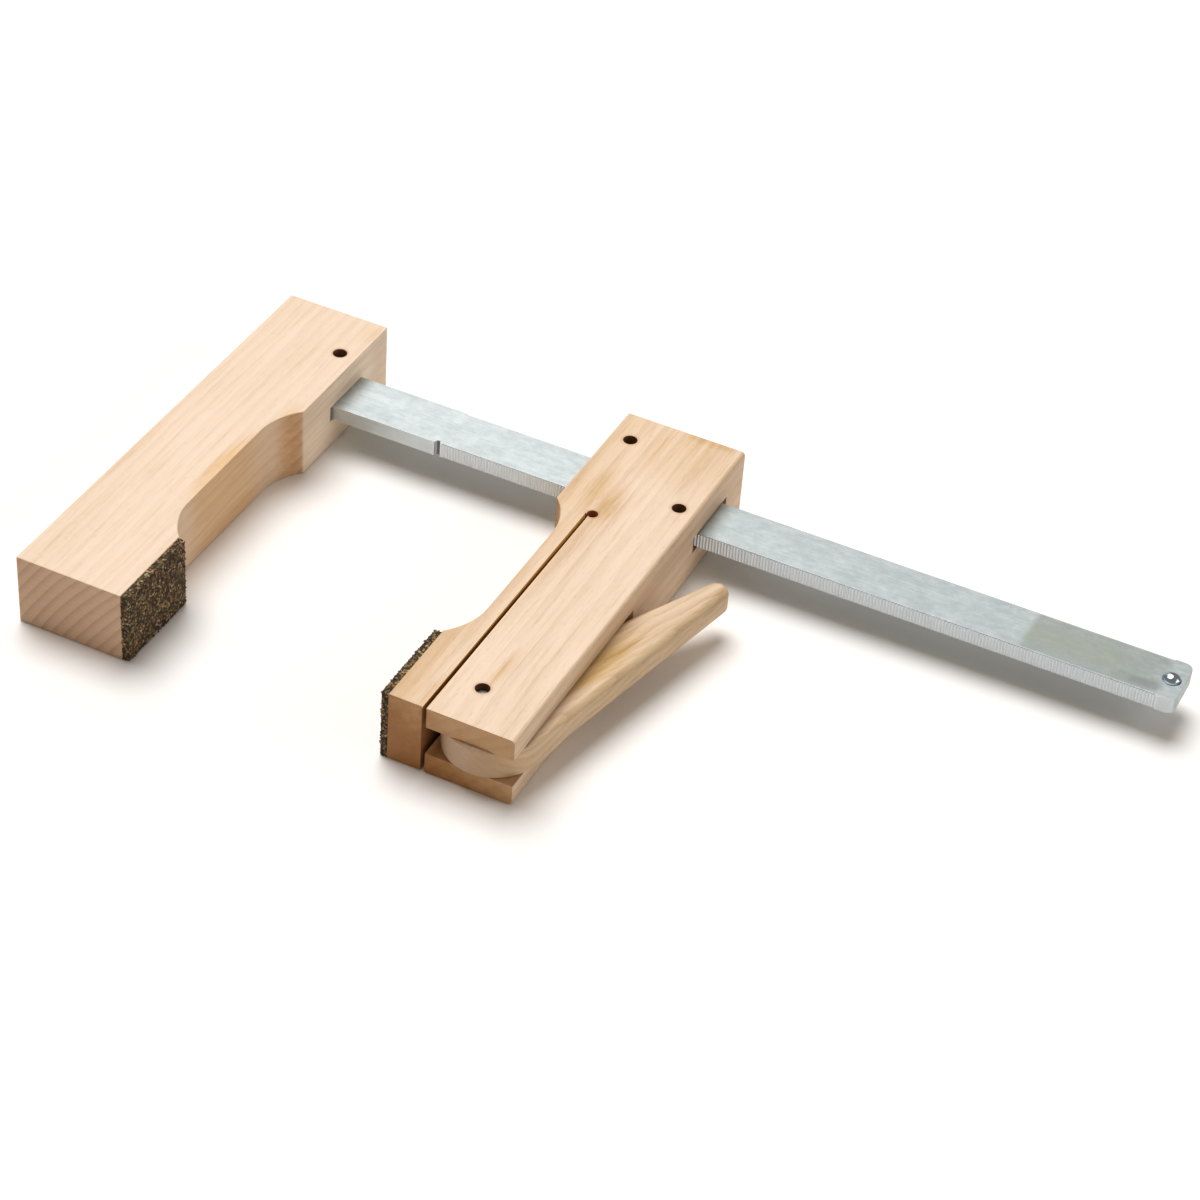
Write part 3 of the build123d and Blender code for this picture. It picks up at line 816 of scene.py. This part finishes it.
def zinc_plate():
    """Bright zinc on rolled steel: cloudy and bluish, with faint rolling lines and a dull patch."""
    finish = Finish("zinc_plate")
    cloud = finish.noise((0.11, 0.16, 0.16), 3.0, 4.0, 0.6)
    mottle = finish.noise((0.4, 0.6, 0.6), 12.0, 4.0, 0.65)
    rolling = finish.noise((0.03, 3.2, 3.2), 21.0, 3.0, 0.6)
    wander = (finish.noise((0.25, 0.25, 0.25), 30.0, 3.0) - 0.5) * 12
    aside = abs(finish.y)
    ragged = finish.x + wander

    # The dull patch near the free end, yellowed first and darker along one line
    patch = finish.step(finish.x, *patch_start) * (1 - finish.step(ragged, *patch_end))
    patch = patch * finish.step(aside, 8.1, 7.2) * finish.step(finish.facing[2], 0.5, 0.8)
    yellow = patch * (1 - finish.step(ragged, *yellow_end))
    yellow = yellow * finish.step(aside + wander * 0.5, 6.5, 3.0)
    dark_line = 1 - finish.step(abs(finish.y - dark_line_y), 0.6, 2.4)
    dark_line = dark_line * finish.step(ragged, *dark_line_start)
    depth = (cloud - 0.5) * 1.5 + (mottle - 0.5) * 1.5 + (rolling - 0.5) * 1.2 + 0.45
    # Painted dimmer reflection and shade beyond the sliding jaw
    depth = depth + finish.step(finish.x, *dimmer_reflection) * 0.25
    colour = finish.mix(depth, (0.52, 0.57, 0.58), (0.35, 0.40, 0.405))
    colour = finish.mix(patch * (0.5 + mottle * 0.7), colour, (0.26, 0.295, 0.285))
    colour = finish.mix(yellow * 0.4, colour, (0.29, 0.31, 0.235))
    colour = finish.mix(patch * dark_line * 0.6, colour, (0.17, 0.19, 0.19))

    # The edges carry a painted sheen, stronger on the teeth, with painted shade and grime in the
    # teeth's roots
    edge = finish.step(abs(finish.facing[1]), 0.3, 0.8)
    toothed = finish.step(finish.x, first_tooth / mm - 0.2, first_tooth / mm)
    toothed = toothed * finish.step(finish.x, last_tooth / mm + 0.2, last_tooth / mm)
    colour = finish.mix(edge * (0.4 + toothed * 0.55), colour, (0.90, 0.95, 0.98))
    root = edge * toothed * finish.step(aside, 8.15, 7.9)
    colour = finish.mix(root * 0.2, colour, (0.2, 0.21, 0.22))
    # A painted highlight along the bar's rounded long corners
    corner = finish.step(abs(finish.facing[1] * finish.facing[2]), 0.15, 0.45)
    colour = finish.mix(corner * 0.7, colour, (0.90, 0.93, 0.95))

    # The bar is darker in the notch
    notch_dark = 1 - finish.step(abs(finish.x - notch_x / mm), 0.35, 0.7)
    notch_dark = notch_dark * finish.step(finish.y, -6.9, -7.2)
    colour = finish.mix(notch_dark * 0.9, colour, (0.08, 0.07, 0.06))
    return finish.surface({
        "Base Color": colour,
        "Metallic": 0.6 - patch * 0.2,
        "Roughness": (cloud - 0.5) * 0.12 + patch * 0.1 + 0.42,
        "Normal": finish.bump(rolling * 0.15 + mottle, zinc_relief, 0.6),
    })


zinc = zinc_plate()
teeth = Shape("teeth", {
    "Pitch": tooth_pitch, "Depth": tooth_depth, "Sink": tooth_sink,
    "Height": bar_high.z - bar_low.z - 2 * bar_arris, "Count": tooth_count - 1,
    "First": first_tooth + tooth_pitch, "Half width": bar_high.y, "Middle": middle_z,
})
sizes = teeth.sizes
# A three-sided cylinder of radius 1 is 1.5 deep and sqrt(3) wide.
wedge = teeth.node("GeometryNodeMeshCylinder", {}, {
    "Vertices": 3, "Radius": 1.0, "Depth": sizes["Height"]})
reach = (sizes["Depth"] + sizes["Sink"]) / 1.5
size = teeth.node("ShaderNodeCombineXYZ", {}, {0: reach, 1: sizes["Pitch"] / sqrt(3), 2: 1.0})
offset = teeth.node("ShaderNodeCombineXYZ", {}, {0: sizes["Pitch"]})
rows = [teeth.body]
for side in (-1, 1):
    centre = (sizes["Half width"] - reach) * side
    start = teeth.node("ShaderNodeCombineXYZ", {}, {
        0: sizes["First"], 1: centre, 2: sizes["Middle"]})
    line = teeth.node("GeometryNodeMeshLine", {}, {
        "Count": sizes["Count"], "Start Location": start.outputs[0], "Offset": offset.outputs[0]})
    row = teeth.node("GeometryNodeInstanceOnPoints", {}, {
        "Points": line.outputs[0], "Instance": wedge.outputs[0],
        "Rotation": (0.0, 0.0, side * pi / 2), "Scale": size.outputs[0]})
    rows.append(row.outputs[0])
teeth.make(bar, teeth.join(*rows), zinc)
dress(bar, zinc, "bar_and_fixed_jaw", "bar_steel", "serrated_bar")


# Pins. Ground steel, cut to length with broken ends and pressed into the wood; the bar's stop pin
# is turned, with a polished low dome at each end that stands in its countersunk hole.
stop_dome = 1.0 * mm
stop_dome_steps = 10
stop_corner = 30                 # degrees; gentler bends look smooth
steel_relief = 0.02 * mm


def ground_steel():
    """Plain steel with fine grinding lines along the pin and brownish stains."""
    finish = Finish("ground_steel")
    grinding = finish.noise((2.5, 2.5, 0.4), 6.0, 3.0, 0.6)
    stain = finish.noise((0.5, 0.5, 0.5), 15.0, 2.0)
    return finish.surface({
        "Base Color": finish.mix(stain, (0.50, 0.49, 0.47), (0.30, 0.28, 0.26)),
        "Metallic": 1.0,
        "Roughness": grinding * 0.25 + 0.25,
        "Normal": finish.bump(grinding, steel_relief, 0.5),
    })


def polished_steel():
    """Bright steel, a little dull in places, tinted blue as a painted cool reflection."""
    finish = Finish("polished_steel")
    wear = finish.noise((1.5, 1.5, 1.5), 8.0, 3.0, 0.6)
    return finish.surface({
        "Base Color": finish.mix(wear, (0.66, 0.76, 0.86), (0.46, 0.56, 0.67)),
        "Metallic": 1.0,
        "Roughness": wear * 0.16 + 0.06,
        "Normal": finish.bump(wear, steel_relief, 0.3),
    })


steel = ground_steel()
for pin in ("fixed_jaw_pin", *slide_pins):
    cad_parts[pin].data.materials.clear()
    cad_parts[pin].data.materials.append(steel)
stop_low, stop_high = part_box("bar_stop_pin")
stop_radius = (stop_high.x - stop_low.x) / 2
dome_radius = (stop_radius**2 + stop_dome**2) / (2 * stop_dome)
dome_sweep = atan2(stop_radius, dome_radius - stop_dome)
dome = [dome_sweep * i / stop_dome_steps for i in range(1, stop_dome_steps + 1)]
upper = [(dome_radius * sin(a), stop_high.z - dome_radius * (1 - cos(a))) for a in dome]
lower = [(radius, 2 * middle_z - z) for radius, z in reversed(upper)]
profile = [(0, stop_high.z), *upper, *lower, (0, stop_low.z)]
stop = turned_solid("bar_stop", profile, stop_pin.x, stop_pin.y)
smooth(stop, stop_corner)
dress(stop, polished_steel(), "bar_and_fixed_jaw", "pin_steel", "bar_stop_pin")


# Cam lever. Sawn from a darker, yellower board with its grain along the handle. Its nose is round
# and bored off the middle line, so that it presses the tongue as it turns; the handle's edges are
# well rounded, the nose's left nearly square.
cam_offset = 5.0 * mm
nose_radius = 13.6 * mm
lever_length = 81.1 * mm
lever_tip_radius = 3.2 * mm
lever_lean = radians(19.4)
handle_round = 2.3 * mm
nose_round = 0.4 * mm
nose_reach = (14.0 * mm, 20 * mm)  # from its centre, where the rounding starts and is full
nose_steps = 110
edge_steps = 30
tip_steps = 26
round_rings = 9
bore_clearance = 0.05 * mm
lever_corner = 25                # degrees; gentler bends look smooth

pivot = middle_of("cam_pivot_pin")
nose_x = pivot.x + cam_offset * cos(lever_lean)
nose_y = pivot.y - cam_offset * sin(lever_lean)


def lever_line():
    """The outline, anticlockwise from the nose's inner side, as points and the way each faces."""
    taper = asin((nose_radius - lever_tip_radius) / lever_length)
    inner, outer = pi - taper - lever_lean, taper - lever_lean
    end_x = nose_x + lever_length * sin(lever_lean)
    end_y = nose_y + lever_length * cos(lever_lean)

    def arc(x, y, radius, start, end, steps):
        turns = [start + (end - start) * i / steps for i in range(steps + 1)]
        return [(x + radius * cos(a), y + radius * sin(a), a) for a in turns]

    def edge(a, b):
        shares = [i / edge_steps for i in range(1, edge_steps)]
        return [(a[0] + (b[0] - a[0]) * s, a[1] + (b[1] - a[1]) * s, a[2]) for s in shares]

    nose = arc(nose_x, nose_y, nose_radius, inner, outer + 2 * pi, nose_steps)
    tip = arc(end_x, end_y, lever_tip_radius, outer, inner, tip_steps)
    return nose + edge(nose[-1], tip[0]) + tip + edge(tip[-1], nose[0])


def rounded_lever():
    """The lever as rings from its lower face to its upper one, well rounded beyond the nose."""
    low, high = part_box("cam_lever")
    line = lever_line()
    rounds = []
    for x, y, facing in line:
        share = (hypot(x - nose_x, y - nose_y) - nose_reach[0]) / (nose_reach[1] - nose_reach[0])
        share = min(1.0, max(0.0, share))
        rounds.append(nose_round + (handle_round - nose_round) * share * share * (3 - 2 * share))
    points = []
    angles = [pi / 2 * i / round_rings for i in range(round_rings + 1)]
    for up, edge_z in ((-1, low.z), (1, high.z)):
        for a in angles if up > 0 else reversed(angles):
            for (x, y, facing), r in zip(line, rounds):
                inset = r * (1 - cos(a))
                z = edge_z - up * r * (1 - sin(a))
                points.append((x - inset * cos(facing), y - inset * sin(facing), z))
    count, rings = len(line), 2 * (round_rings + 1)
    faces = [tuple(reversed(range(count))), tuple(range((rings - 1) * count, rings * count))]
    turn = [(i, (i + 1) % count) for i in range(count)]
    for ring in range(rings - 1):
        below, above = ring * count, (ring + 1) * count
        faces += [(below + i, below + j, above + j, above + i) for i, j in turn]
    return solid("cam_lever_wood", points, faces)


lever = rounded_lever()
cut(lever, drill(pivot.x, pivot.y, pin_hole_radius + bore_clearance))
smooth(lever, lever_corner)
lever_wood = wood(
    "lever_wood", pale=(0.705, 0.535, 0.37), deep=(0.43, 0.265, 0.13), warm=(0.80, 0.69, 0.37),
    end=((0.60, 0.41, 0.27), (0.42, 0.26, 0.15)), pith=(-30, -45), ring=1.9,
    warmth_and_shade=(0.0, 0.0, 0.0, -0.2), seed=57.0, streak=0.8, figure=0.95, bands=0.1,
    stains=[(2, 32, 14, 32, 1.4), (8, 30, 6, 26, 1.2)], turn=lever_lean, about=tuple(pivot),
)
dress(lever, lever_wood, "lever", "lever_wood", "cam_lever")


# Studio. A plain white table under a wide overhead softbox towards the back left, with one panel
# behind and one at the right for the bar's sheen, and the camera where the photograph was taken.
table_half = 6.0
table_gap = 0.1 * mm
softbox_spread = radians(40)
room_colour = (1.0, 0.86, 0.72, 1.0)
view_azimuth, view_elevation, view_roll = radians(23.44), radians(39.30), radians(4.51)
view_target = Vector((113.54, -32.55, 0.0)) * mm
view_distance = 907.36 * mm
focal_length, film_width = 100.11, 36.0

corners = rectangle(-table_half, table_half, -table_half, table_half)
table = solid("table_top", [(x, y, -table_gap) for x, y in corners], [(0, 1, 2, 3)])
paint = Finish("white_table")
grain = paint.noise((0.02, 0.02, 0.02), 1.0)
table.data.materials.append(paint.surface({
    "Base Color": paint.mix(grain, (0.92, 0.91, 0.90), (0.94, 0.93, 0.92)), "Roughness": 0.7}))


def light(name, kind, place, aim, energy, **settings):
    """A lamp at place that points at aim."""
    lamp = bpy.data.lights.new(name, kind)
    lamp.energy = energy
    for key, setting in settings.items():
        setattr(lamp, key, setting)
    made = bpy.data.objects.new(name, lamp)
    made.location = place
    made.rotation_euler = (Vector(aim) - Vector(place)).to_track_quat("-Z", "Y").to_euler()
    bpy.context.scene.collection.objects.link(made)


light("overhead_softbox", "SUN", place=(-0.35, 0.30, 1.0), aim=(0, 0, 0), energy=2.95,
      angle=softbox_spread)
light("back_panel", "AREA", place=(-0.75, 1.2, 0.9), aim=(0.05, 0, 0), energy=1.4,
      shape="RECTANGLE", size=0.8, size_y=0.7)
light("side_panel", "AREA", place=(1.4, 0.15, 0.7), aim=(0.1, 0, 0), energy=3.2,
      shape="RECTANGLE", size=1.0, size_y=0.7)
world = bpy.data.worlds.new("studio")
world.use_nodes = True
room = Recipe(world.node_tree)
glow = room.node("ShaderNodeBackground", {}, {"Color": room_colour, "Strength": 0.25})
room.node("ShaderNodeOutputWorld", {}, {"Surface": glow.outputs[0]})
bpy.context.scene.world = world
bpy.context.scene.view_settings.view_transform = "Standard"

level = Vector((cos(view_azimuth), sin(view_azimuth), 0.0))
back = Vector((
    sin(view_azimuth) * cos(view_elevation), -cos(view_azimuth) * cos(view_elevation),
    sin(view_elevation),
))
right = level * cos(view_roll) + back.cross(level) * sin(view_roll)
turned = Matrix((right, back.cross(right), back)).transposed().to_4x4()
lens = bpy.data.cameras.new("camera")
lens.lens = focal_length
lens.sensor_width = film_width
camera = bpy.data.objects.new("camera", lens)
camera.matrix_world = Matrix.Translation(view_target + back * view_distance) @ turned
bpy.context.scene.collection.objects.link(camera)
bpy.context.scene.camera = camera
